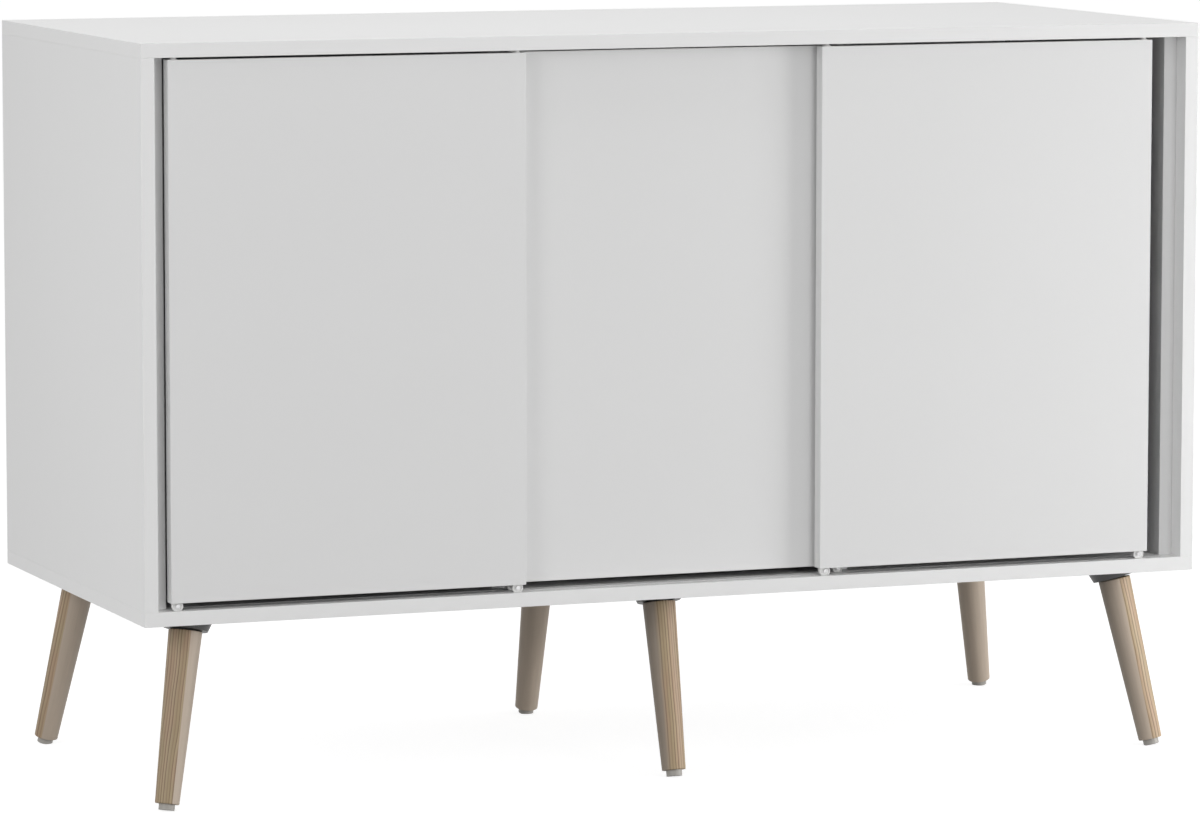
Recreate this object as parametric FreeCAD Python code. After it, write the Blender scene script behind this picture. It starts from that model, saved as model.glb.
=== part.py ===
"""Sliding door cabinet on six splayed legs, one STEP file per sub-part.

X runs along the width, Y from the front to the back, Z up. The origin lies on the
floor below the middle of the cabinet. Lengths are in millimetres, angles in degrees.
"""
import FreeCAD, Part
import math
import os
from FreeCAD import Placement, Rotation, Vector

os.makedirs("parts", exist_ok=True)

# ------------------------------------------------------------ driving dimensions
# Carcass
WIDTH = 1200.0            # over the side panels
DEPTH = 515.0             # front edges to back edges
CARCASS_HEIGHT = 600.0    # underside of the bottom panel to the top face
PANEL = 15.0              # thickness of the carcass boards
EASED_EDGE = 0.4          # rounding of every board edge
BACK_PANEL = 3.0          # thickness of the back panel
BACK_INSET = 10.0         # back panel in front of the back edges
BACK_GROOVE = 6.0         # depth of its groove in the boards
BACK_PLAY = 0.3           # play of the back panel in its groove
STRIP_WIDTH = 16.0        # joining strip between the halves of the back panel
STRIP_WALL = 1.0          # wall of the joining strip
FILLER = 15.0             # thickness of the filler strips
FILLER_WIDTH = 80.0       # filler strips, front to back

# Shelves
SHELF = 15.0              # thickness of a shelf
SHELF_HEIGHT = 270.0      # bottom panel to the underside of a shelf
SHELF_PLAY = 1.0          # gap at each end of a shelf
SHELF_BACK_PLAY = 2.5     # gap between a shelf and the back panel
SHELF_FRONT_PLAY = 2.0    # gap between a shelf and the filler strips
PIN_D = 5.0               # shelf pin
PIN_OUT = 9.0             # length of a pin under its shelf
PIN_COLLAR_D = 7.0
PIN_INSET = 37.0          # pin line from the front and back edges of a shelf
PIN_PITCH = 32.0          # spacing of the pin holes
PIN_STEPS = 2             # spare pin holes above and below the shelf
PIN_WEB = 1.0             # wood left between facing holes of a divider

# Fittings between the boards
CAM_D = 15.0              # cam lock
CAM_CENTRE = 24.0         # cam lock from the end of its board
CAM_SKIN = 3.0            # wood left behind a cam lock
CAM_SLOT = 7.0            # length of the cross slot in a cam lock
CAM_SLOT_WIDTH = 1.2
CAM_SLOT_DEPTH = 1.5
CAM_FRONT = 130.0         # front row of cam locks from the front edges
CAM_BACK = 60.0           # back row of cam locks from the back edges
CAM_BOLT_D = 6.0          # thread of a cam bolt
CAM_SHANK_D = 4.5
CAM_HEAD_D = 6.8
CAM_HEAD_LENGTH = 5.0
CAM_HEAD_PLAY = 0.1       # radial play of the head in its channel
THREAD_SKIN = 5.0         # wood left behind a cam bolt's thread
DOWEL_D = 8.0
DOWEL_DEEP = 20.0         # dowel hole in the end of a board
DOWEL_SKIN = 4.0          # wood left behind a dowel
DOWEL_CHAMFER = 0.8
DOWEL_FRONT = 60.0        # front row of dowels from the front edges
DOWEL_BACK = 110.0        # back row of dowels from the back edges
FILLER_DOWEL_INSET = 70.0 # end dowels of a filler strip from its ends
SEAT = 0.05               # radial clearance of a fastener in its hole
END_PLAY = 0.2            # clearance at the blind end of a hole

# Doors
DOOR = 15.0               # thickness of a door
DOOR_SETBACK = 3.0        # front doors behind the front edges
DOOR_GAP = 4.0            # clearance between a door and what stands behind it
DOOR_OVERLAP = 15.0       # a front door over the closed centre door
DOOR_TOP_GAP = 2.5        # door to the underside of the top panel
DOOR_FLOOR_GAP = 8.0      # door to the bottom panel
DOOR_EDGE = 0.5           # rounding of the door edges
RIGHT_DOOR_AJAR = 24.0    # how far the right door stands open at rest

# Door wheels and their housings
WHEEL_D = 12.0
WHEEL_WIDTH = 4.0
WHEEL_SINK = 1.5          # wheel below the face of the bottom panel
WHEEL_PLAY = 0.3          # wheel to everything beside and below it
WHEEL_EDGE = 0.4          # rounding of the tread
WHEEL_RIM = 1.2           # rim round the ring recess in the wheel's face
WHEEL_RECESS = 0.5        # depth of the ring recess
AXLE_D = 2.5
AXLE_PLAY = 0.05          # radial running clearance of a wheel
AXLE_HEAD_D = 4.5
AXLE_HEAD = 0.7
HOUSING_WALL = 2.0        # housing beside the wheel
HOUSING_HEIGHT = 16.0     # housing above the door's bottom edge
HOUSING_PLAY = 0.6        # wheel to the ends of its well
TONGUE_INSET = 1.2        # tongue behind the wheel, narrower on each side
DOOR_FACE_WALL = 3.0      # door left in front of and behind a housing

# Top guides
GUIDE_PIN_D = 6.4
GUIDE_REACH = 5.0         # guide pin above the underside of the top panel
GUIDE_PLAY = 0.3          # guide pin to the walls of its channel
GUIDE_TIP = 0.8           # rounding of the pin's tip
GUIDE_COLLAR_D = 9.0
GUIDE_COLLAR = 0.8        # height of the collar on the door's top edge
GUIDE_PLUG_D = 8.0
GUIDE_PLUG = 14.0         # length of the plug in the door
LIFT_PLAY = 3.0           # free height above a guide pin, to lift the door in

# Tracks
TRACK_WIDTH = 8.0
TRACK_HEIGHT = 5.0
CHANNEL_WALL = 1.0        # wall of the top channels

# Legs
LEG_HEIGHT = 198.0        # floor to the underside of the carcass
LEG_TILT = 14.0           # lean of every leg
FOOT_INSET = 31.5         # leg axis on the floor, from the carcass outline
LEG_TOP_D = 35.4
LEG_TIP_D = 25.6
LEG_EDGE = 1.0            # rounding of the leg ends
GLIDER_D = 17.0
GLIDER_HEIGHT = 6.5
GLIDER_EDGE = 0.6         # rounding of the glider's lower rim
GLIDER_FLAT = 1.1         # height of the rim worn flat by the floor
NAIL_D = 2.4
NAIL_LENGTH = 14.0        # in the leg
NAIL_SKIN = 2.0           # glider left below its nail
BRACKET_D = 47.0          # lower face of a bracket
BRACKET_HEIGHT = 14.4     # along the leg axis
BRACKET_FLARE = 20.0      # draft of its side
BRACKET_WEDGE = 17.0      # slope of its lower face, steeper than the end of the leg
BOSS_D = 18.0             # raised seat of the leg
BOSS_HEIGHT = 1.0
INSERT_D = 12.0
INSERT_SKIN = 4.4         # bracket above the insert, on the leg axis
BOLT_D = 8.0
BOLT_IN_LEG = 28.0
BOLT_SHORT = 1.5          # end of the bolt below the end of the insert
SCREWS_PER_BRACKET = 4
SCREW_CIRCLE_D = 27.0
SCREW_D = 4.0
SCREW_HEAD_D = 7.4
SCREW_HEAD = 2.4
SCREW_GRIP = 5.0          # bracket above a screw head
SCREW_SKIN = 4.0          # wood left above a screw
HEAD_PLAY = 0.3           # screw head in its counterbore

# ------------------------------------------------------------ derived planes
front = -DEPTH / 2
back = DEPTH / 2
underside = LEG_HEIGHT
deck = underside + PANEL                       # top face of the bottom panel
crown = underside + CARCASS_HEIGHT
ceiling = crown - PANEL                        # underside of the top panel
inside = WIDTH / 2 - PANEL                     # inner faces of the side panels
opening = inside - FILLER                      # inner faces of the filler strips

door_width = (2 * opening + 2 * DOOR_OVERLAP) / 3
door_low = deck + DOOR_FLOOR_GAP
door_high = ceiling - DOOR_TOP_GAP
front_face = front + DOOR_SETBACK              # front faces of the outer doors
rear_face = front_face + DOOR + DOOR_GAP       # front face of the centre door
divider_front = rear_face + DOOR + DOOR_GAP
back_face = back - BACK_INSET - BACK_PANEL     # front face of the back panel
filler_back = rear_face + FILLER_WIDTH

closed_x = opening - door_width / 2            # middle of a closed outer door
left_door_x = -closed_x
right_door_x = closed_x - RIGHT_DOOR_AJAR

housing_length = WHEEL_D + 2 * HOUSING_WALL
roller_inset = housing_length / 2              # housings flush with the door ends
wheel_z = deck - WHEEL_SINK + WHEEL_D / 2
track_groove = WHEEL_SINK + WHEEL_PLAY
track_slot = WHEEL_WIDTH + 2 * WHEEL_PLAY
housing_front = DOOR_FACE_WALL
housing_back = DOOR - DOOR_FACE_WALL
wheel_front = housing_front + WHEEL_PLAY + AXLE_HEAD + WHEEL_PLAY
wheel_back = wheel_front + WHEEL_WIDTH
wheel_line = (wheel_front + wheel_back) / 2    # wheel plane behind the door face
tongue_front = wheel_back + WHEEL_PLAY

guide_line = DOOR / 2
channel_inner = GUIDE_PIN_D + 2 * GUIDE_PLAY
channel_outer = channel_inner + 2 * CHANNEL_WALL
channel_depth = GUIDE_REACH + LIFT_PLAY + CHANNEL_WALL

bay_width = (2 * inside - 2 * PANEL) / 3
divider_x = bay_width / 2 + PANEL / 2
shelf_front = filler_back + SHELF_FRONT_PLAY
shelf_back = back_face - SHELF_BACK_PLAY
shelf_z = deck + SHELF_HEIGHT
pin_deep = (PANEL - PIN_WEB) / 2


# ------------------------------------------------------------ helpers
def slab(x, y, z):
    """Box between two limits on each axis."""
    return Part.makeBox(x[1] - x[0], y[1] - y[0], z[1] - z[0], Vector(x[0], y[0], z[0]))


def rod(start, direction, length, diameter):
    return Part.makeCylinder(diameter / 2, length, start, direction)


def board(x, y, z, edge=EASED_EDGE):
    """Board with all its edges eased."""
    blank = slab(x, y, z)
    return blank.makeFillet(edge, blank.Edges)


def band(centre, width):
    return (centre - width / 2, centre + width / 2)


def rims(shape):
    """The round edges of a turned piece."""
    return [edge for edge in shape.Edges if edge.Closed]


def fused(shapes):
    return shapes[0].multiFuse(shapes[1:]).removeSplitter()


def save(node, shape):
    shape.exportStep("parts/%s.step" % node)


def save_group(node, shapes):
    save(node, Part.makeCompound(shapes))


X_AXIS = Vector(1, 0, 0)
Y_AXIS = Vector(0, 1, 0)
Z_AXIS = Vector(0, 0, 1)

# ------------------------------------------------------------ board joints
# Each upright stands between the bottom and top panels. An end of an upright is
# (x of its middle plane, z of the end, +1 at the bottom or -1 at the top, side of
# the face that holds the cam locks).
uprights = {
    "side_panel_left": (-(inside + PANEL / 2), 1),
    "side_panel_right": (inside + PANEL / 2, -1),
    "divider_left": (-divider_x, 1),
    "divider_right": (divider_x, -1),
}
cam_rows = [front + CAM_FRONT, back - CAM_BACK]
dowel_rows = [front + DOWEL_FRONT, back - DOWEL_BACK]
ends = [(deck, 1), (ceiling, -1)]
cam_bore_depth = PANEL - CAM_SKIN
cam_body = cam_bore_depth - END_PLAY
cam_channel_d = CAM_HEAD_D + 2 * CAM_HEAD_PLAY
thread_deep = PANEL - THREAD_SKIN
dowel_shallow = PANEL - DOWEL_SKIN


def cam_places():
    for x, side in uprights.values():
        for y in cam_rows:
            for z, up in ends:
                yield x, y, z, up, side


def dowel_places():
    for x, _ in uprights.values():
        for y in dowel_rows:
            for z, up in ends:
                yield x, y, z, up


def cam_bore(x, y, z, up, side, diameter, depth):
    face = x + side * PANEL / 2
    return rod(Vector(face, y, z + up * CAM_CENTRE), X_AXIS * -side, depth, diameter)


def cam_channel(x, y, z, up):
    """Hole for the bolt's shank, from the board's end to just past the cam's middle."""
    length = CAM_CENTRE + CAM_HEAD_LENGTH / 2 + END_PLAY
    return rod(Vector(x, y, z), Z_AXIS * up, length, cam_channel_d)


def cam_lock(x, y, z, up, side):
    lock = cam_bore(x, y, z, up, side, CAM_D - 2 * SEAT, cam_body)
    lock = lock.cut(cam_channel(x, y, z, up))
    centre = z + up * CAM_CENTRE
    slot_x = band(x + side * PANEL / 2, 2 * CAM_SLOT_DEPTH)
    level = slab(slot_x, band(y, CAM_SLOT), band(centre, CAM_SLOT_WIDTH))
    upright = slab(slot_x, band(y, CAM_SLOT_WIDTH), band(centre, CAM_SLOT))
    return lock.cut([level, upright])


def cam_bolt(x, y, z, up):
    thread = rod(Vector(x, y, z), Z_AXIS * -up, thread_deep - END_PLAY, CAM_BOLT_D)
    shank = rod(Vector(x, y, z), Z_AXIS * up, CAM_CENTRE, CAM_SHANK_D)
    head_start = Vector(x, y, z + up * (CAM_CENTRE - CAM_HEAD_LENGTH / 2))
    head = rod(head_start, Z_AXIS * up, CAM_HEAD_LENGTH, CAM_HEAD_D)
    return fused([thread, shank, head])


def thread_hole(x, y, z, up):
    return rod(Vector(x, y, z), Z_AXIS * -up, thread_deep, CAM_BOLT_D + 2 * SEAT)


def dowel_hole_in_end(x, y, z, up):
    return rod(Vector(x, y, z), Z_AXIS * up, DOWEL_DEEP, DOWEL_D + 2 * SEAT)


def dowel_hole_in_face(x, y, z, up):
    return rod(Vector(x, y, z), Z_AXIS * -up, dowel_shallow, DOWEL_D + 2 * SEAT)


def dowel(start, direction, length):
    pin = rod(start, direction, length, DOWEL_D)
    return pin.makeChamfer(DOWEL_CHAMFER, rims(pin))


def upright_dowel(x, y, z, up):
    start = Vector(x, y, z - up * (dowel_shallow - END_PLAY))
    return dowel(start, Z_AXIS * up, dowel_shallow + DOWEL_DEEP - 2 * END_PLAY)


filler_dowel_y = rear_face + FILLER_WIDTH / 2
filler_dowel_z = [deck + FILLER_DOWEL_INSET, (deck + ceiling) / 2, ceiling - FILLER_DOWEL_INSET]
filler_dowel_deep = FILLER - DOWEL_SKIN


def filler_dowel_holes(side):
    """Holes through the seam between a side panel and its filler strip."""
    start_x = side * (inside + dowel_shallow)
    length = dowel_shallow + filler_dowel_deep
    return [
        rod(Vector(start_x, filler_dowel_y, z), X_AXIS * -side, length, DOWEL_D + 2 * SEAT)
        for z in filler_dowel_z
    ]


def filler_dowels(side):
    start_x = side * (inside + dowel_shallow - END_PLAY)
    length = dowel_shallow + filler_dowel_deep - 2 * END_PLAY
    return [dowel(Vector(start_x, filler_dowel_y, z), X_AXIS * -side, length) for z in filler_dowel_z]


# ------------------------------------------------------------ legs: axes and frames
# A leg stands on FOOT_INSET and leans inwards. Its own frame has Z along its axis
# and its origin where the axis meets the floor.
cos_tilt = math.cos(math.radians(LEG_TILT))
sin_tilt = math.sin(math.radians(LEG_TILT))
foot_x = WIDTH / 2 - FOOT_INSET
foot_y = DEPTH / 2 - FOOT_INSET
legs = {
    "front_left": (-foot_x, -foot_y, (1, 1)),
    "front_middle": (0.0, -foot_y, (0, 1)),
    "front_right": (foot_x, -foot_y, (-1, 1)),
    "rear_left": (-foot_x, foot_y, (1, -1)),
    "rear_middle": (0.0, foot_y, (0, -1)),
    "rear_right": (foot_x, foot_y, (-1, -1)),
}

glider_base = (GLIDER_D / 2 * sin_tilt - GLIDER_FLAT) / cos_tilt
leg_base = glider_base + GLIDER_HEIGHT
underside_on_axis = LEG_HEIGHT / cos_tilt
bracket_base = underside_on_axis - BRACKET_HEIGHT
leg_end = bracket_base - BOSS_HEIGHT
insert_end = underside_on_axis - INSERT_SKIN
bolt_end = insert_end - BOLT_SHORT


def leg_placement(x, y, lean):
    reach = math.hypot(*lean)
    axis = Vector(lean[0] / reach * sin_tilt, lean[1] / reach * sin_tilt, cos_tilt)
    return Placement(Vector(x, y, 0), Rotation(Z_AXIS, axis))


def placed(shape, place):
    moved = shape.copy()
    moved.Placement = place
    return moved


def on_axis(low, high, diameter):
    """Cylinder round a leg's axis, in the leg's own frame."""
    return rod(Vector(0, 0, low), Z_AXIS, high - low, diameter)


def leg_blank():
    leg = Part.makeCone(LEG_TIP_D / 2, LEG_TOP_D / 2, leg_end - leg_base, Vector(0, 0, leg_base))
    leg = leg.makeFillet(LEG_EDGE, rims(leg))
    leg = leg.cut(on_axis(leg_end - BOLT_IN_LEG - END_PLAY, leg_end, BOLT_D + 2 * SEAT))
    return leg.cut(on_axis(leg_base, leg_base + NAIL_LENGTH + END_PLAY, NAIL_D + 2 * SEAT))


def glider(place):
    disc = on_axis(glider_base, leg_base, GLIDER_D)
    lower_rim = [edge for edge in rims(disc) if edge.CenterOfMass.z < leg_base - GLIDER_HEIGHT / 2]
    disc = placed(disc.makeFillet(GLIDER_EDGE, lower_rim), place)
    below = slab((-WIDTH, WIDTH), (-DEPTH, DEPTH), (-GLIDER_D, 0))
    nail_hole = placed(on_axis(glider_base + NAIL_SKIN, leg_base, NAIL_D + 2 * SEAT), place)
    return disc.cut(below).cut(nail_hole)


def glider_nail(place):
    start = glider_base + NAIL_SKIN + END_PLAY
    return placed(on_axis(start, leg_base + NAIL_LENGTH, NAIL_D), place)


def screw_points(place):
    """Screw axes of one bracket, where they cross its lower face."""
    for index in range(SCREWS_PER_BRACKET):
        turn = math.radians(360.0 * (index + 0.5) / SCREWS_PER_BRACKET)
        local = Vector(math.cos(turn), math.sin(turn), 0) * (SCREW_CIRCLE_D / 2)
        yield place.multVec(local + Vector(0, 0, bracket_base))


def below_bracket(place):
    """Block under the sloping lower face of a bracket."""
    axis = place.multVec(Z_AXIS) - place.Base
    wedge = math.radians(BRACKET_WEDGE)
    normal = Vector(axis.x, axis.y, 0) * (math.sin(wedge) / sin_tilt) + Z_AXIS * math.cos(wedge)
    block = slab((-BRACKET_D, BRACKET_D), (-BRACKET_D, BRACKET_D), (-BRACKET_D, 0))
    return placed(block, Placement(place.multVec(Vector(0, 0, bracket_base)), Rotation(Z_AXIS, normal)))


def bracket(place):
    rise = BRACKET_HEIGHT + BRACKET_D
    dip = BRACKET_D / 2 * math.tan(math.radians(BRACKET_WEDGE - LEG_TILT))
    flare = math.tan(math.radians(BRACKET_FLARE))
    low_radius, top_radius = BRACKET_D / 2 - dip * flare, BRACKET_D / 2 + rise * flare
    body = Part.makeCone(low_radius, top_radius, dip + rise, Vector(0, 0, bracket_base - dip))
    body = placed(body, place).cut(below_bracket(place))
    boss = placed(on_axis(leg_end, bracket_base + dip, BOSS_D), place)
    body = body.fuse(boss).removeSplitter()
    above = slab((-WIDTH, WIDTH), (-DEPTH, DEPTH), (underside, underside + 2 * rise))
    body = body.cut(above)
    body = body.cut(placed(on_axis(leg_end, insert_end + END_PLAY, INSERT_D + 2 * SEAT), place))
    seat_z = underside - SCREW_GRIP
    for point in screw_points(place):
        foot = Vector(point.x, point.y, underside - rise)
        body = body.cut(rod(foot, Z_AXIS, seat_z - foot.z, SCREW_HEAD_D + 2 * HEAD_PLAY))
        body = body.cut(rod(foot, Z_AXIS, 2 * rise, SCREW_D + 2 * SEAT))
    return body


def bracket_insert(place):
    shell = on_axis(leg_end, insert_end, INSERT_D)
    return placed(shell.cut(on_axis(leg_end, insert_end, BOLT_D + 2 * SEAT)), place)


def hanger_bolt(place):
    return placed(on_axis(leg_end - BOLT_IN_LEG, bolt_end, BOLT_D), place)


screw_end = deck - SCREW_SKIN


def bracket_screw(point):
    seat_z = underside - SCREW_GRIP
    head = rod(Vector(point.x, point.y, seat_z - SCREW_HEAD), Z_AXIS, SCREW_HEAD, SCREW_HEAD_D)
    shank_length = screw_end - END_PLAY - seat_z
    shank = rod(Vector(point.x, point.y, seat_z), Z_AXIS, shank_length, SCREW_D)
    return head.fuse(shank).removeSplitter()


leg_places = {name: leg_placement(*spec) for name, spec in legs.items()}
all_screw_points = [point for place in leg_places.values() for point in screw_points(place)]


# ------------------------------------------------------------ carcass boards
def back_groove_x():
    return (-(inside + BACK_GROOVE), inside + BACK_GROOVE)


def back_groove_z():
    return (deck - BACK_GROOVE, ceiling + BACK_GROOVE)


groove_y = (back_face - BACK_PLAY / 2, back_face + BACK_PANEL + BACK_PLAY / 2)


def bottom_panel():
    panel = board((-WIDTH / 2, WIDTH / 2), (front, back), (underside, deck))
    cuts = [slab(back_groove_x(), groove_y, (deck - BACK_GROOVE, deck))]
    cuts += [slab(x, y, (deck - TRACK_HEIGHT, deck)) for x, y in bottom_tracks.values()]
    cuts += [thread_hole(x, y, z, up) for x, y, z, up, _ in cam_places() if up > 0]
    cuts += [dowel_hole_in_face(*place) for place in dowel_places() if place[3] > 0]
    for point in all_screw_points:
        start = Vector(point.x, point.y, underside)
        cuts.append(rod(start, Z_AXIS, screw_end - underside, SCREW_D + 2 * SEAT))
    return panel.cut(cuts)


def top_panel():
    panel = board((-WIDTH / 2, WIDTH / 2), (front, back), (ceiling, crown))
    cuts = [slab(back_groove_x(), groove_y, (ceiling, ceiling + BACK_GROOVE))]
    cuts += [slab(x, y, (ceiling, ceiling + channel_depth)) for x, y in top_channels.values()]
    cuts += [thread_hole(x, y, z, up) for x, y, z, up, _ in cam_places() if up < 0]
    cuts += [dowel_hole_in_face(*place) for place in dowel_places() if place[3] < 0]
    return panel.cut(cuts)


pin_lines = [shelf_front + PIN_INSET, shelf_back - PIN_INSET]


def pin_z(step):
    return shelf_z - PIN_D / 2 + step * PIN_PITCH


def pin_holes(face_x, into):
    """Rows of shelf pin holes in one face of an upright; into is -1 or +1 along X."""
    return [
        rod(Vector(face_x, y, pin_z(step)), X_AXIS * into, pin_deep, PIN_D + 2 * SEAT)
        for y in pin_lines
        for step in range(-PIN_STEPS, PIN_STEPS + 1)
    ]


def joint_cuts(name):
    """Cam lock, cam bolt and dowel holes of one upright."""
    x, side = uprights[name]
    cuts = []
    for z, up in ends:
        for y in cam_rows:
            cuts.append(cam_bore(x, y, z, up, side, CAM_D, cam_bore_depth))
            cuts.append(cam_channel(x, y, z, up))
        cuts += [dowel_hole_in_end(x, y, z, up) for y in dowel_rows]
    return cuts


def side_panel(name):
    x, side = uprights[name]
    outward = -side
    panel = board((x - PANEL / 2, x + PANEL / 2), (front, back), (deck, ceiling))
    face = x + side * PANEL / 2
    groove = sorted((face, face + outward * BACK_GROOVE))
    cuts = [slab(groove, groove_y, (deck, ceiling))]
    cuts += joint_cuts(name)
    cuts += filler_dowel_holes(outward)
    cuts += pin_holes(face, outward)
    return panel.cut(cuts)


def divider(name):
    x, _ = uprights[name]
    panel = board((x - PANEL / 2, x + PANEL / 2), (divider_front, back_face), (deck, ceiling))
    cuts = joint_cuts(name)
    cuts += pin_holes(x - PANEL / 2, 1)
    cuts += pin_holes(x + PANEL / 2, -1)
    return panel.cut(cuts)


def filler_strip(side):
    x = sorted((side * opening, side * inside))
    strip = board(x, (rear_face, filler_back), (deck, ceiling))
    return strip.cut(filler_dowel_holes(side))


def back_half(side):
    edge = STRIP_WALL / 2 + BACK_PLAY / 2
    x = sorted((side * edge, side * (inside + BACK_GROOVE - BACK_PLAY)))
    low, high = back_groove_z()
    return slab(x, (back_face, back_face + BACK_PANEL), (low + BACK_PLAY, high - BACK_PLAY))


def joining_strip():
    """H-section between the halves of the back panel."""
    z = (deck + BACK_PLAY, ceiling - BACK_PLAY)
    web = slab((-STRIP_WALL / 2, STRIP_WALL / 2), (back_face, back_face + BACK_PANEL), z)
    flange_x = (-STRIP_WIDTH / 2, STRIP_WIDTH / 2)
    near = slab(flange_x, (back_face - STRIP_WALL, back_face), z)
    far_y = back_face + BACK_PANEL
    far = slab(flange_x, (far_y, far_y + STRIP_WALL), z)
    return fused([web, near, far])


bays = {
    "left": (-inside, -(divider_x + PANEL / 2)),
    "centre": (-bay_width / 2, bay_width / 2),
    "right": (divider_x + PANEL / 2, inside),
}


def shelf(bay):
    low, high = bays[bay]
    x = (low + SHELF_PLAY, high - SHELF_PLAY)
    return board(x, (shelf_front, shelf_back), (shelf_z, shelf_z + SHELF))


def shelf_pin(face_x, out, y):
    """Pin from a hole in an upright; out is the way it points into the bay."""
    start = Vector(face_x - out * (pin_deep - END_PLAY), y, pin_z(0))
    length = pin_deep - END_PLAY + PIN_OUT
    pin = rod(start, X_AXIS * out, length, PIN_D)
    collar = rod(Vector(face_x, y, pin_z(0)), X_AXIS * out, SHELF_PLAY, PIN_COLLAR_D)
    return pin.fuse(collar).removeSplitter()


def shelf_pins():
    pins = []
    for low, high in bays.values():
        for y in pin_lines:
            pins.append(shelf_pin(low, 1, y))
            pins.append(shelf_pin(high, -1, y))
    return pins


# ------------------------------------------------------------ tracks
# The front tracks run from side panel to side panel, the rear ones between the fillers.
bottom_tracks = {
    "bottom_track_front": ((-inside, inside), band(front_face + wheel_line, TRACK_WIDTH)),
    "bottom_track_rear": ((-opening, opening), band(rear_face + wheel_line, TRACK_WIDTH)),
}
top_channels = {
    "top_channel_front": ((-inside, inside), band(front_face + guide_line, channel_outer)),
    "top_channel_rear": ((-opening, opening), band(rear_face + guide_line, channel_outer)),
}


def bottom_track(x, y):
    bar = slab(x, y, (deck - TRACK_HEIGHT, deck))
    middle = (y[0] + y[1]) / 2
    return bar.cut(slab(x, band(middle, track_slot), (deck - track_groove, deck)))


def top_channel(x, y):
    bar = slab(x, y, (ceiling, ceiling + channel_depth))
    middle = (y[0] + y[1]) / 2
    return bar.cut(slab(x, band(middle, channel_inner), (ceiling, ceiling + channel_depth - CHANNEL_WALL)))


def end_stop(side):
    """Plug in the end of the front track's groove, level with the deck, that stops a wheel."""
    drop = WHEEL_D / 2 - WHEEL_SINK
    reach = math.sqrt((WHEEL_D / 2) ** 2 - drop ** 2)
    face = opening - roller_inset + reach + WHEEL_PLAY
    x = sorted((side * face, side * inside))
    y = band(front_face + wheel_line, track_slot)
    stop = slab(x, y, (deck - track_groove, deck))
    upper = [edge for edge in stop.Edges if edge.BoundBox.ZMin > deck - SEAT]
    lip = [edge for edge in upper if abs(edge.CenterOfMass.x) < face + SEAT]
    return stop.makeFillet(EASED_EDGE, lip)


# ------------------------------------------------------------ doors
doors = {
    "left_door": (left_door_x, front_face),
    "centre_door": (0.0, rear_face),
    "right_door": (right_door_x, front_face),
}


def fitting_x(door):
    """Middles of the wheels and guides of a door, left and right."""
    x, _ = doors[door]
    reach = door_width / 2 - roller_inset
    return {"left": x - reach, "right": x + reach}


def pocket(x, face):
    y = (face + housing_front, face + housing_back)
    return slab(band(x, housing_length), y, (door_low, door_low + HOUSING_HEIGHT))


def guide_bore(x, face):
    start = Vector(x, face + guide_line, door_high - GUIDE_PLUG)
    return rod(start, Z_AXIS, GUIDE_PLUG, GUIDE_PLUG_D + 2 * SEAT)


def door_panel(door):
    x, face = doors[door]
    panel = board(band(x, door_width), (face, face + DOOR), (door_low, door_high), DOOR_EDGE)
    cuts = []
    for place in fitting_x(door).values():
        cuts += [pocket(place, face), guide_bore(place, face)]
    return panel.cut(cuts)


def top_guide(x, face):
    plug_start = Vector(x, face + guide_line, door_high - GUIDE_PLUG + END_PLAY)
    plug = rod(plug_start, Z_AXIS, GUIDE_PLUG - END_PLAY, GUIDE_PLUG_D)
    collar = rod(Vector(x, face + guide_line, door_high), Z_AXIS, GUIDE_COLLAR, GUIDE_COLLAR_D)
    pin_length = ceiling + GUIDE_REACH - door_high
    pin = rod(Vector(x, face + guide_line, door_high), Z_AXIS, pin_length, GUIDE_PIN_D)
    tip = [edge for edge in rims(pin) if edge.CenterOfMass.z > ceiling]
    return fused([plug, collar, pin.makeFillet(GUIDE_TIP, tip)])


def roller_housing(x, face):
    body = pocket(x, face)
    tongue_y = (face + tongue_front, face + housing_back)
    tongue_width = WHEEL_D - 2 * TONGUE_INSET
    drop = slab(band(x, tongue_width), tongue_y, (wheel_z, door_low + HOUSING_HEIGHT))
    thickness = housing_back - tongue_front
    foot = rod(Vector(x, tongue_y[0], wheel_z), Y_AXIS, thickness, tongue_width)
    under = slab(band(x, housing_length), tongue_y, (deck - WHEEL_D, deck + WHEEL_PLAY))
    body = fused([body, drop, foot]).cut(under)
    well_y = (face + housing_front, face + tongue_front)
    well_top = wheel_z + WHEEL_D / 2 + HOUSING_WALL
    well = slab(band(x, WHEEL_D + 2 * HOUSING_PLAY), well_y, (deck, well_top))
    bore = rod(Vector(x, face, wheel_z), Y_AXIS, DOOR, AXLE_D + 2 * SEAT)
    return body.cut([well, bore])


def axle(x, face):
    head_front = face + wheel_front - WHEEL_PLAY - AXLE_HEAD
    head = rod(Vector(x, head_front, wheel_z), Y_AXIS, AXLE_HEAD, AXLE_HEAD_D)
    length = housing_back - END_PLAY - (wheel_front - WHEEL_PLAY)
    pin = rod(Vector(x, head_front + AXLE_HEAD, wheel_z), Y_AXIS, length, AXLE_D)
    return head.fuse(pin).removeSplitter()


def wheel(x, face):
    start = face + wheel_front
    tread = rod(Vector(x, start, wheel_z), Y_AXIS, WHEEL_WIDTH, WHEEL_D)
    tread = tread.makeFillet(WHEEL_EDGE, rims(tread))
    bore = rod(Vector(x, start, wheel_z), Y_AXIS, WHEEL_WIDTH, AXLE_D + 2 * AXLE_PLAY)
    ring = rod(Vector(x, start, wheel_z), Y_AXIS, WHEEL_RECESS, WHEEL_D - 2 * WHEEL_RIM)
    hub = rod(Vector(x, start, wheel_z), Y_AXIS, WHEEL_RECESS, AXLE_HEAD_D)
    return tread.cut([bore, ring.cut(hub)])


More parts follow.
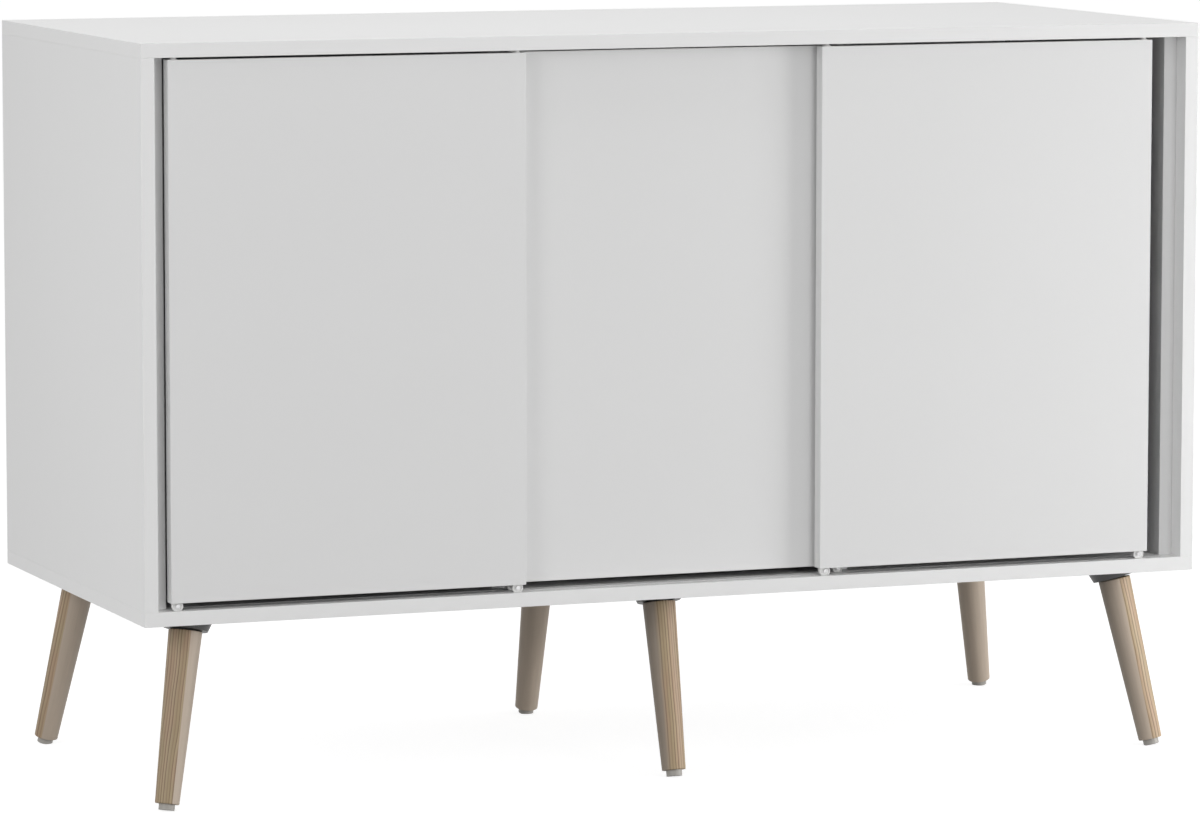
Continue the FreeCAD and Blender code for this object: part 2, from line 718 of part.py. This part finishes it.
# ------------------------------------------------------------ write the sub-parts
save("top_panel", top_panel())
save("bottom_panel", bottom_panel())
for name in ("side_panel_left", "side_panel_right"):
    save(name, side_panel(name))
for name in ("divider_left", "divider_right"):
    save(name, divider(name))
for name, side in (("left", -1), ("right", 1)):
    save("filler_strip_" + name, filler_strip(side))
    save("back_panel_" + name, back_half(side))
save("back_joining_strip", joining_strip())
for bay in bays:
    save("shelf_" + bay, shelf(bay))
save_group("shelf_pins", shelf_pins())
for name, limits in bottom_tracks.items():
    save(name, bottom_track(*limits))
for name, limits in top_channels.items():
    save(name, top_channel(*limits))
save_group("track_end_stops", [end_stop(-1), end_stop(1)])

save_group("cam_locks", [cam_lock(*place) for place in cam_places()])
save_group("cam_bolts", [cam_bolt(x, y, z, up) for x, y, z, up, _ in cam_places()])
all_dowels = [upright_dowel(*place) for place in dowel_places()]
save_group("wood_dowels", all_dowels + filler_dowels(-1) + filler_dowels(1))

for name, place in leg_places.items():
    save("leg_" + name, placed(leg_blank(), place))
    save("leg_bracket_" + name, bracket(place))
save_group("leg_bolts", [hanger_bolt(place) for place in leg_places.values()])
save_group("bracket_inserts", [bracket_insert(place) for place in leg_places.values()])
save_group("bracket_screws", [bracket_screw(point) for point in all_screw_points])
save_group("foot_gliders", [glider(place) for place in leg_places.values()])
save_group("glider_nails", [glider_nail(place) for place in leg_places.values()])

for door, (_, face) in doors.items():
    places = fitting_x(door)
    save(door, door_panel(door))
    save_group(door + "_top_guides", [top_guide(x, face) for x in places.values()])
    save_group(door + "_roller_housings", [roller_housing(x, face) for x in places.values()])
    save_group(door + "_axles", [axle(x, face) for x in places.values()])
    for end, x in places.items():
        save("%s_wheel_%s" % (door, end), wheel(x, face))
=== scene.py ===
import math

import bmesh
import bpy
from mathutils import Matrix, Quaternion, Vector


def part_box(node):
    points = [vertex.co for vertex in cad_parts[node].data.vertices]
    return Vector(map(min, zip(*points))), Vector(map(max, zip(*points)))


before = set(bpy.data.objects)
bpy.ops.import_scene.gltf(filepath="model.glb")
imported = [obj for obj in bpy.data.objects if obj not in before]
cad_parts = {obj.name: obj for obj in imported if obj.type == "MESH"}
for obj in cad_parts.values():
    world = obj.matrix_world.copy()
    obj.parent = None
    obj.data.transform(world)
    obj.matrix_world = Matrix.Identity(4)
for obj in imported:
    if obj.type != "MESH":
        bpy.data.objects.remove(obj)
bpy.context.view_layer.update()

MM = 0.001

# ------------------------------------------------------------ colours, linear
CARCASS_WHITE = (0.850, 0.850, 0.848)
DOOR_WHITE = (0.774, 0.774, 0.773)
CHIP_PALE = (0.52, 0.38, 0.24)
CHIP_DARK = (0.27, 0.17, 0.095)
HARDBOARD_BROWN = (0.25, 0.145, 0.075)
HARDBOARD_DARK = (0.17, 0.095, 0.048)
BRACKET_GREY = (0.060, 0.060, 0.058)
GLIDER_GREY = (0.425, 0.405, 0.375)
TRACK_GREY = (0.60, 0.60, 0.595)
FITTING_WHITE = (0.82, 0.82, 0.81)
STEEL = (0.56, 0.56, 0.565)
CAST_ZINC = (0.42, 0.42, 0.43)

# the pale, middle and dark part of a ring
HEARTWOOD = ((0.452, 0.344, 0.229), (0.388, 0.285, 0.182), (0.232, 0.158, 0.093))
BEECH = ((0.60, 0.43, 0.27), (0.57, 0.40, 0.25), (0.44, 0.29, 0.17))
SAPWOOD = (0.450, 0.372, 0.297)
ROSY_TINT = (1.035, 0.965, 0.965)
OCHRE_TINT = (0.985, 1.005, 0.945)

# ------------------------------------------------------------ board details
EASED = 0.4 * MM                # rounding of the board edges
CORE_FROM = 1.2 * EASED         # depth at which the skin starts to give way to the core
CORE_FULL = 1.6 * EASED         # depth from which there is core alone
BAND = 1.0 * MM                 # thickness of the edge band
BAND_JOINT = 0.07 * MM          # half width of the glue line beside it
JOINT_DARKER = 0.10             # share of its lightness that the glue line loses
BAND_DARKER = 0.008
BAND_SMOOTHER = 0.05            # in roughness
CORE_ROUGHER = 0.4
PEARL_HEIGHT = 0.004 * MM
CHIP_HEIGHT = 0.15 * MM
HARDBOARD_FACE = 0.2 * MM       # thickness of the back panel's white face
HARDBOARD_HEIGHT = 0.08 * MM

# ------------------------------------------------------------ wood details
RING_WANDER = 0.3               # quick unevenness of the rings, in ring widths
RING_SPREAD = 0.8               # how far wide and narrow rings shift others, in ring widths
SAPWOOD_DEPTH = 18 * MM         # over which the sapwood darkens away from the heartwood, partly a painted shade
FLECK_STRENGTH = 0.35           # how much of the dark wood's colour a pore takes
WOOD_HEIGHT = 0.05 * MM

# ------------------------------------------------------------ plastic and metal details
PITS_ROUGHER = 0.06             # how far the pits of moulded plastic spread its roughness
LINE_HEIGHT = 0.01 * MM
SCRATCH_HEIGHT = 0.006 * MM

# ------------------------------------------------------------ features per metre
CHIPS = 620.0
PEARL = 1500.0
HARDBOARD_FIBRES = 260.0
WOOD_FIBRES = 1100.0
WOOD_PORES = 1900.0
EXTRUSION_LINES = 1600.0
METAL_SCRATCHES = 2600.0

# the same across the wood, twice, and along it
RING_BENDS = (14.0, 14.0, 13.0)
RING_WANDERS = (90.0, 90.0, 22.0)
WOOD_PATCHES = (45.0, 45.0, 5.0)
TINT_PATCHES = (80.0, 80.0, 18.0)
SAPWOOD_STREAKS = (280.0, 280.0, 7.0)
ALONG_GRAIN = (1.0, 1.0, 0.035)   # stretches fibres and pores

# features per ring, from ring to ring
FAT_YEARS = 0.42
DRY_YEARS = 0.55


# ------------------------------------------------------------ shader writing
class Value:
    """One output of a material's node tree. Arithmetic on it adds Math nodes."""

    def __init__(self, shader, socket):
        self.shader = shader
        self.socket = socket

    def math(self, operation, *others):
        inputs = dict(enumerate((self,) + others))
        return self.shader.node("ShaderNodeMath", {"operation": operation}, inputs)

    def __add__(self, other):
        return self.math("ADD", other)

    __radd__ = __add__

    def __sub__(self, other):
        return self.math("SUBTRACT", other)

    def __mul__(self, other):
        return self.math("MULTIPLY", other)

    def __truediv__(self, other):
        return self.math("DIVIDE", other)

    def __abs__(self):
        return self.math("ABSOLUTE")

    def least(self, other):
        return self.math("MINIMUM", other)

    def most(self, other):
        return self.math("MAXIMUM", other)


class Shader:
    """The node tree of one material, on the piece's own coordinates in metres."""

    def __init__(self, name):
        self.material = bpy.data.materials.new(name)
        self.start(self.material)
        self.place = self.node("ShaderNodeTexCoord", output="Object")

    def start(self, owner):
        owner.use_nodes = True
        self.tree = owner.node_tree
        self.tree.nodes.clear()

    def node(self, kind, settings=None, inputs=None, output=0):
        made = self.tree.nodes.new(kind)
        for name, value in (settings or {}).items():
            if name == "stops":
                self.set_stops(made.color_ramp, value)
            else:
                setattr(made, name, value)
        for name, value in (inputs or {}).items():
            if isinstance(value, Value):
                self.tree.links.new(value.socket, made.inputs[name])
            else:
                made.inputs[name].default_value = value
        return Value(self, made.outputs[output])

    @staticmethod
    def set_stops(ramp, stops):
        while len(ramp.elements) < len(stops):
            ramp.elements.new(1.0)
        for element, (position, colour) in zip(ramp.elements, stops):
            element.position = position
            element.color = (*colour, 1.0)

    def vector(self, operation, *operands):
        inputs = dict(enumerate(operands))
        return self.node("ShaderNodeVectorMath", {"operation": operation}, inputs)

    def scaled(self, vector, factors):
        return self.vector("MULTIPLY", vector, factors)

    def length(self, vector):
        inputs = {0: vector}
        return self.node("ShaderNodeVectorMath", {"operation": "LENGTH"}, inputs, output="Value")

    def split(self, vector):
        """The vector's X, Y and Z."""
        parts = self.node("ShaderNodeSeparateXYZ", inputs={0: vector}).socket.node
        return [Value(self, socket) for socket in parts.outputs]

    def joined(self, x, y, z):
        return self.node("ShaderNodeCombineXYZ", inputs={0: x, 1: y, 2: z})

    def noise(self, vector, scale, detail=2.0, roughness=0.5):
        inputs = {"Vector": vector, "Scale": scale, "Detail": detail, "Roughness": roughness}
        return self.node("ShaderNodeTexNoise", inputs=inputs, output="Fac")

    def rise(self, value, low, high, to_low=0.0, to_high=1.0):
        """Smooth step from to_low, where value is low, to to_high, where it is high."""
        inputs = {"Value": value, "From Min": low, "From Max": high,
                  "To Min": to_low, "To Max": to_high}
        return self.node("ShaderNodeMapRange", {"interpolation_type": "SMOOTHSTEP"}, inputs)

    def spread(self, value, low, high):
        """Even spread of a noise of 0 to 1 between low and high."""
        return value * (high - low) + low

    def ramp(self, value, stops):
        return self.node("ShaderNodeValToRGB", {"stops": stops}, {0: value})

    def mix(self, factor, first, second, blend="MIX"):
        settings = {"data_type": "RGBA", "blend_type": blend}
        first = first if isinstance(first, Value) else (*first, 1.0)
        second = second if isinstance(second, Value) else (*second, 1.0)
        return self.node("ShaderNodeMix", settings, {0: factor, 6: first, 7: second}, output=2)

    def scaled_by(self, colour, factor):
        """Colour made lighter or darker by a factor that is a value."""
        inputs = {0: colour, "Scale": factor}
        return self.node("ShaderNodeVectorMath", {"operation": "SCALE"}, inputs)

    def bump(self, height, distance, under=None):
        """Relief from a height of 0 to 1 times a distance, on top of another relief."""
        inputs = {"Height": height, "Distance": distance, "Strength": 1.0}
        if under is not None:
            inputs["Normal"] = under
        return self.node("ShaderNodeBump", inputs=inputs)

    def surface(self, **sockets):
        """Ends the tree in a Principled shader; a name's underscores stand for spaces."""
        inputs = {}
        for name, value in sockets.items():
            inputs[name.replace("_", " ")] = value
        self.end_in(self.node("ShaderNodeBsdfPrincipled", inputs=inputs))
        return self.material

    def end_in(self, shaded, output="ShaderNodeOutputMaterial"):
        end = self.tree.nodes.new(output)
        self.tree.links.new(shaded.socket, end.inputs["Surface"])


def dress(node, material):
    """Gives a CAD node one material all over."""
    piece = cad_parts[node]
    piece.data.materials.clear()
    piece.data.materials.append(material)


# ------------------------------------------------------------ boards
def chipboard(s):
    """Colour and relief of the raw core, which shows in holes and grooves."""
    chips = s.node("ShaderNodeTexVoronoi", {"feature": "F1"}, {"Vector": s.place, "Scale": CHIPS},
                   output="Color")
    shade = s.split(chips)[0]
    colour = s.mix(shade, CHIP_DARK, CHIP_PALE)
    return colour, shade


def melamine(node, white):
    """White melamine board: pearl surface, edge bands, and chipboard below the skin."""
    low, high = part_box(node)
    centre, half = (low + high) / 2, (high - low) / 2
    s = Shader("melamine_" + node)
    from_centre = s.vector("ABSOLUTE", s.vector("SUBTRACT", s.place, tuple(centre)))
    depths = s.split(s.vector("SUBTRACT", tuple(half), from_centre))
    thin = min(range(3), key=lambda axis: half[axis])
    broad = depths[thin]
    first, second = (depths[axis] for axis in range(3) if axis != thin)
    from_edge = first.least(second)
    core = s.rise(broad.least(from_edge), CORE_FROM, CORE_FULL)

    on_band = s.rise(from_edge, BAND, BAND + BAND_JOINT, 1.0, 0.0)
    joint = s.rise(abs(from_edge - BAND), BAND_JOINT * 0.5, BAND_JOINT, 1.0, 0.0)
    cloud = s.noise(s.place, 5.0, detail=3.0)
    pearl = s.noise(s.place, PEARL, detail=2.0)
    tone = s.spread(cloud, 0.992, 1.008) - joint * JOINT_DARKER - on_band * BAND_DARKER
    skin = s.scaled_by(white, tone)

    chip_colour, chip_relief = chipboard(s)
    colour = s.mix(core, skin, chip_colour)
    haze = s.noise(s.place, 60.0, detail=3.0)
    skin_roughness = s.spread(haze, 0.40, 0.50) - on_band * BAND_SMOOTHER
    roughness = skin_roughness + core * CORE_ROUGHER
    relief = s.bump(pearl, PEARL_HEIGHT)
    relief = s.bump(core * chip_relief, CHIP_HEIGHT, under=relief)
    return s.surface(Base_Color=colour, Roughness=roughness, Normal=relief)


def hardboard(node):
    """Thin back panel: white face inside, bare brown board outside."""
    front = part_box(node)[0].y
    s = Shader("hardboard_" + node)
    depth = s.split(s.place)[1]
    outside = s.rise(depth, front + HARDBOARD_FACE, front + 2 * HARDBOARD_FACE)
    fibres = s.noise(s.place, HARDBOARD_FIBRES, detail=5.0, roughness=0.7)
    cloud = s.noise(s.place, 9.0, detail=3.0)
    bare = s.mix(s.rise(fibres, 0.3, 0.7), HARDBOARD_DARK, HARDBOARD_BROWN)
    bare = s.scaled_by(bare, s.spread(cloud, 0.85, 1.15))
    skin = s.scaled_by(CARCASS_WHITE, s.spread(cloud, 0.985, 1.0))
    colour = s.mix(outside, skin, bare)
    roughness = 0.5 + outside * s.spread(fibres, 0.15, 0.35)
    relief = s.bump(outside * fibres, HARDBOARD_HEIGHT)
    return s.surface(Base_Color=colour, Roughness=roughness, Normal=relief)


# ------------------------------------------------------------ wood
def ring_wood(name, place, turn, seed, heartwood, pith, lean, pitch, sway,
              sapwood=None, sapwood_from=0.0, step=0.5 * MM, fade=0.0):
    """Solid wood with rings round a pith line beside the piece, in the piece's own frame.

    place and turn set that frame, with Z along the grain and X away from the pith. pith is
    the distance of the pith line and lean its slope, pitch the width of a ring, and sway
    how far the rings bend along the wood. Past sapwood_from on X the wood is sapwood, step
    is half the width of that change, and fade is how much the sapwood darkens outwards.
    Where the sapwood faces a leg's shaded side, that darkening is partly painted shade.
    """
    pale, mid, dark = heartwood
    s = Shader(name)
    settings = {"vector_type": "TEXTURE"}
    own = s.node("ShaderNodeMapping", settings,
                 {"Vector": s.place, "Location": tuple(place), "Rotation": tuple(turn)})
    shifted = s.vector("ADD", own, (seed, seed * 1.7, seed * 0.6))
    bend = s.noise(s.scaled(shifted, RING_BENDS), 1.0, detail=1.0) - 0.5
    wander = s.noise(s.scaled(shifted, RING_WANDERS), 1.0, detail=2.0) - 0.5
    x, y, z = s.split(own)
    across = x + pith + z * lean
    radius = s.length(s.joined(across + bend * sway, y, 0.0)) + wander * (RING_WANDER * pitch)
    years = radius / pitch
    fat_years = s.noise(s.joined(years * FAT_YEARS + seed, 0.0, 0.0), 1.0, detail=1.0) - 0.5
    dry_years = s.noise(s.joined(years * DRY_YEARS - seed, 3.0, 0.0), 1.0, detail=1.0)
    ring = (years + fat_years * RING_SPREAD).math("FRACT")
    stops = [(0.0, pale), (0.35, pale), (0.62, mid), (0.78, dark), (0.92, dark), (1.0, pale)]
    tone = s.mix(s.rise(dry_years, 0.33, 0.55, 0.4, 1.0), mid, s.ramp(ring, stops))

    along = s.scaled(shifted, ALONG_GRAIN)
    fibre = s.noise(along, WOOD_FIBRES, detail=3.0, roughness=0.6)
    pores = s.rise(s.noise(along, WOOD_PORES, detail=1.0), 0.62, 0.74)
    flecks = pores * s.rise(ring, 0.0, 0.35, 1.0, 0.25)
    patches = s.noise(s.scaled(shifted, WOOD_PATCHES), 1.0, detail=2.0)
    drift = s.rise(s.noise(s.scaled(shifted, TINT_PATCHES), 1.0, detail=2.0), 0.35, 0.65)
    colour = s.scaled_by(tone, s.spread(patches, 0.88, 1.12) * s.spread(fibre, 0.90, 1.10))
    colour = s.mix(1.0, colour, s.mix(drift, OCHRE_TINT, ROSY_TINT), blend="MULTIPLY")
    colour = s.mix(flecks * FLECK_STRENGTH, colour, dark)
    if sapwood is not None:
        edge = pith + sapwood_from
        from_pith = s.length(s.joined(across + wander * step, y, 0.0))
        outer = s.rise(from_pith, edge - step, edge + step)
        streaks = s.noise(s.scaled(shifted, SAPWOOD_STREAKS), 1.0, detail=2.0)
        shade = s.spread(streaks, 0.91, 1.09) * s.spread(fibre, 0.94, 1.06)
        shade = shade * s.spread(patches, 0.90, 1.10)
        # partly painted shade: the sapwood darkens outwards, which on some legs is their shaded
        # side
        shade = shade * s.rise(from_pith, edge, edge + SAPWOOD_DEPTH, 1 + fade, 1 - fade)
        colour = s.mix(outer, colour, s.scaled_by(sapwood, shade))
    roughness = s.spread(fibre, 0.46, 0.60) + flecks * 0.15
    relief = s.bump(fibre * 0.4 - flecks, WOOD_HEIGHT)
    return s.surface(Base_Color=colour, Roughness=roughness, Normal=relief)


# ------------------------------------------------------------ plastics and metals
def moulded(name, colour, roughness, grain, grain_height):
    """Injection-moulded plastic with a fine eroded texture."""
    s = Shader(name)
    cloud = s.noise(s.place, 40.0, detail=2.0)
    pits = s.noise(s.place, grain, detail=2.0)
    tone = s.spread(cloud, 0.95, 1.05)
    uneven = s.spread(pits, roughness - PITS_ROUGHER, roughness + PITS_ROUGHER)
    relief = s.bump(pits, grain_height)
    return s.surface(Base_Color=s.scaled_by(colour, tone), Roughness=uneven, Normal=relief)


def extruded(name, colour):
    """Extruded plastic profile with faint lines along X."""
    s = Shader(name)
    stretch = (4.0, EXTRUSION_LINES, EXTRUSION_LINES)
    lines = s.noise(s.scaled(s.place, stretch), 1.0, detail=2.0)
    cloud = s.noise(s.place, 30.0, detail=2.0)
    tone = s.spread(cloud, 0.96, 1.04)
    relief = s.bump(lines, LINE_HEIGHT)
    return s.surface(Base_Color=s.scaled_by(colour, tone), Roughness=s.spread(lines, 0.32, 0.46),
                     Normal=relief)


def plated(name, colour, grain):
    """Zinc-plated or die-cast metal: dull sheen with a cloudy grain."""
    s = Shader(name)
    cloud = s.noise(s.place, grain, detail=4.0, roughness=0.65)
    scratches = s.noise(s.scaled(s.place, (1.0, 1.0, 0.2)), METAL_SCRATCHES, detail=1.0)
    tone = s.spread(cloud, 0.86, 1.10)
    relief = s.bump(scratches, SCRATCH_HEIGHT)
    return s.surface(Base_Color=s.scaled_by(colour, tone), Metallic=1.0,
                     Roughness=s.spread(cloud, 0.26, 0.46), Normal=relief)


# ------------------------------------------------------------ dressing the boards
CARCASS_BOARDS = (
    "top_panel", "bottom_panel", "side_panel_left", "side_panel_right", "divider_left",
    "divider_right", "filler_strip_left", "filler_strip_right", "shelf_left",
    "shelf_centre", "shelf_right",
)
DOORS = ("left_door", "centre_door", "right_door")

for board in CARCASS_BOARDS:
    dress(board, melamine(board, CARCASS_WHITE))
for door in DOORS:
    dress(door, melamine(door, DOOR_WHITE))
for half in ("back_panel_left", "back_panel_right"):
    dress(half, hardboard(half))

# ------------------------------------------------------------ dressing the legs
LEG_TILT = math.radians(14.0)
FOOT_INSET = 31.5 * MM
LEG_SEED = 0.37
DOWEL_SEED = 9.3
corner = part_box("bottom_panel")[1]
foot_x = corner.x - FOOT_INSET
foot_y = corner.y - FOOT_INSET

# each leg's corner, the direction of its sapwood in degrees from X, its rings, how light
# its heartwood and sapwood are, and how much the sapwood darkens outwards. On the front
# middle and front right legs the sapwood faces their shaded left side, and its low tone
# and outward darkening there are partly painted shade.
LEGS = {
    "front_left": dict(side=-1, end=-1, sap_side=-20, pith=58 * MM, lean=-0.011,
                       pitch=3.3 * MM, sway=7 * MM, sapwood_from=6.7 * MM, step=0.5 * MM,
                       heart=0.92, sap=1.05, fade=0.15),
    # front middle: the dark sapwood (0.62) on its left side is partly painted shade
    "front_middle": dict(side=0, end=-1, sap_side=158, pith=60 * MM, lean=0.0,
                         pitch=3.1 * MM, sway=2.5 * MM, sapwood_from=6.0 * MM, step=3.2 * MM,
                         heart=1.06, sap=0.62, fade=0.15),
    # front right: the lowered sapwood and strong outward darkening on its left are partly painted
    # shade
    "front_right": dict(side=1, end=-1, sap_side=158, pith=50 * MM, lean=0.009,
                        pitch=4.2 * MM, sway=5 * MM, sapwood_from=-0.2 * MM, step=0.6 * MM,
                        heart=1.21, sap=0.97, fade=0.30),
    "rear_left": dict(side=-1, end=1, sap_side=-21, pith=48 * MM, lean=0.0,
                      pitch=4.0 * MM, sway=5 * MM, sapwood_from=-2.4 * MM, step=1.0 * MM,
                      heart=0.97, sap=1.11, fade=0.0),
    "rear_middle": dict(side=0, end=1, sap_side=-107, pith=60 * MM, lean=0.020,
                        pitch=3.8 * MM, sway=5 * MM, sapwood_from=-6.0 * MM, step=1.0 * MM,
                        heart=0.87, sap=1.16, fade=0.05),
    "rear_right": dict(side=1, end=1, sap_side=-115, pith=55 * MM, lean=0.025,
                       pitch=4.2 * MM, sway=6 * MM, sapwood_from=-6.0 * MM, step=1.0 * MM,
                       heart=0.96, sap=1.24, fade=0.05),
}


def leg_axis(side, end):
    """Direction of a leg from the floor up: inwards from its corner."""
    inwards = Vector((-side, -end, 0)).normalized() * math.sin(LEG_TILT)
    return Vector((inwards.x, inwards.y, math.cos(LEG_TILT)))


def toned(colour, factor):
    """Colour made lighter or darker by a factor that is a number."""
    return tuple(factor * part for part in colour)


def dress_legs():
    for seed, (name, leg) in enumerate(LEGS.items()):
        up = Vector((0, 0, 1)).rotation_difference(leg_axis(leg["side"], leg["end"]))
        spin = Quaternion((0, 0, 1), math.radians(leg["sap_side"]))
        place = (leg["side"] * foot_x, leg["end"] * foot_y, 0.0)
        heartwood = [toned(colour, leg["heart"]) for colour in HEARTWOOD]
        wood = ring_wood("leg_wood_" + name, place, (up @ spin).to_euler(), seed + LEG_SEED,
                         heartwood, leg["pith"], leg["lean"], leg["pitch"], leg["sway"],
                         toned(SAPWOOD, leg["sap"]), leg["sapwood_from"], leg["step"],
                         leg["fade"])
        dress("leg_" + name, wood)


dress_legs()
bracket_plastic = moulded("bracket_plastic", BRACKET_GREY, roughness=0.42, grain=900.0,
                          grain_height=0.02 * MM)
for name in LEGS:
    dress("leg_bracket_" + name, bracket_plastic)

# ------------------------------------------------------------ dressing the fittings
dress("foot_gliders", moulded("glider_plastic", GLIDER_GREY, roughness=0.45, grain=1400.0,
                              grain_height=0.01 * MM))
dress("wood_dowels", ring_wood("dowel_beech", (0, 0, 0), (0, 0, 0), DOWEL_SEED, BEECH,
                               pith=30 * MM, lean=0.01, pitch=2.4 * MM, sway=3 * MM))
track_plastic = extruded("track_plastic", TRACK_GREY)
for profile in ("bottom_track_front", "bottom_track_rear", "top_channel_front",
                "top_channel_rear", "back_joining_strip"):
    dress(profile, track_plastic)
fitting_plastic = moulded("fitting_plastic", FITTING_WHITE, roughness=0.34, grain=1200.0,
                          grain_height=0.006 * MM)
steel = plated("zinc_plated_steel", STEEL, grain=300.0)
dress("track_end_stops", fitting_plastic)
dress("cam_locks", plated("cast_zinc", CAST_ZINC, grain=500.0))
for fasteners in ("cam_bolts", "shelf_pins", "leg_bolts", "bracket_inserts", "bracket_screws",
                  "glider_nails"):
    dress(fasteners, steel)
for door in DOORS:
    dress(door + "_axles", steel)
    for fitting in ("_top_guides", "_roller_housings", "_wheel_left", "_wheel_right"):
        dress(door + fitting, fitting_plastic)

# ------------------------------------------------------------ floor, light and camera
FLOOR_SIZE = 120.0
FLOOR_PAINT = (0.42, 0.42, 0.42)
FLOOR_LIFT = 0.84         # added where the camera sees the floor, so that it reads as white
AMBIENT = 0.40            # strength of the white world as a light on surfaces

# each softbox's place, the point it faces, its width and height, and its power in watts
SOFTBOXES = {
    "key_low": ((2.4, -1.3, 0.4), (0.2, -0.1, 0.25), (1.0, 0.6), 28.0),
    "key_high": ((2.2, -2.7, 1.5), (0.4, -0.25, 0.5), (1.6, 1.6), 4.8),
    "front_right": ((1.4, -5.8, 1.5), (0.0, -0.2, 0.5), (1.4, 1.4), 43.5),
    "left_soft": ((-3.0, -2.2, 1.4), (-0.3, -0.2, 0.5), (1.4, 1.4), 26.5),
    "fill_left": ((-1.95, -0.1, 0.8), (-0.6, 0.0, 0.6), (1.4, 0.8), 3.4),
    "top_soft": ((0.0, -0.2, 3.2), (0.0, 0.0, 0.8), (2.6, 1.8), 25.5),
}


def seen_directly(s):
    """1 for what the camera, a reflection or a transmission sees, 0 for light on surfaces."""
    path = s.node("ShaderNodeLightPath", output="Is Camera Ray")
    rays = path.socket.node.outputs
    glossy = Value(s, rays["Is Glossy Ray"])
    through = Value(s, rays["Is Transmission Ray"])
    return path.most(glossy).most(through)


def add_floor():
    made = bmesh.new()
    bmesh.ops.create_grid(made, x_segments=1, y_segments=1, size=FLOOR_SIZE / 2)
    mesh = bpy.data.meshes.new("studio_floor")
    made.to_mesh(mesh)
    made.free()
    floor = bpy.data.objects.new("studio_floor", mesh)
    bpy.context.scene.collection.objects.link(floor)
    s = Shader("studio_floor_paint")
    matt = s.node("ShaderNodeBsdfDiffuse", inputs={"Color": (*FLOOR_PAINT, 1.0)})
    glow = s.node("ShaderNodeEmission", inputs={"Strength": seen_directly(s) * FLOOR_LIFT})
    s.end_in(s.node("ShaderNodeAddShader", inputs={0: matt, 1: glow}))
    mesh.materials.append(s.material)


class Sky(Shader):
    """The node tree of the world."""

    def __init__(self, name):
        world = bpy.data.worlds.new(name)
        bpy.context.scene.world = world
        self.start(world)


def add_world():
    s = Sky("studio")
    strength = seen_directly(s) * (1 - AMBIENT) + AMBIENT
    sky = s.node("ShaderNodeBackground", inputs={"Strength": strength, "Color": (1, 1, 1, 1)})
    s.end_in(sky, output="ShaderNodeOutputWorld")


def add_softbox(name, place, target, size, power):
    light = bpy.data.lights.new(name, "AREA")
    light.shape = "RECTANGLE"
    light.size, light.size_y = size
    light.energy = power
    lamp = bpy.data.objects.new(name, light)
    bpy.context.scene.collection.objects.link(lamp)
    lamp.location = place
    aim = Vector(target) - Vector(place)
    lamp.rotation_euler = aim.to_track_quat("-Z", "Y").to_euler()


CAMERA_PLACE = (-2.4152, -6.1908, 1.1306)
CAMERA_YAW = math.radians(21.331)
CAMERA_PITCH = math.radians(6.489)
CAMERA_ROLL = math.radians(0.036)
CAMERA_LENS = 182.69
SENSOR = 36.0


def add_camera():
    lens = bpy.data.cameras.new("camera")
    lens.sensor_width = SENSOR
    lens.lens = CAMERA_LENS
    lens.clip_end = 2 * FLOOR_SIZE
    camera = bpy.data.objects.new("camera", lens)
    bpy.context.scene.collection.objects.link(camera)
    turn = Matrix.Rotation(-CAMERA_YAW, 4, "Z")
    turn = turn @ Matrix.Rotation(math.pi / 2 - CAMERA_PITCH, 4, "X")
    turn = turn @ Matrix.Rotation(CAMERA_ROLL, 4, "Z")
    camera.matrix_world = Matrix.Translation(CAMERA_PLACE) @ turn
    bpy.context.scene.camera = camera


add_floor()
add_world()
for name, softbox in SOFTBOXES.items():
    add_softbox(name, *softbox)
add_camera()
bpy.context.scene.view_settings.view_transform = "Standard"
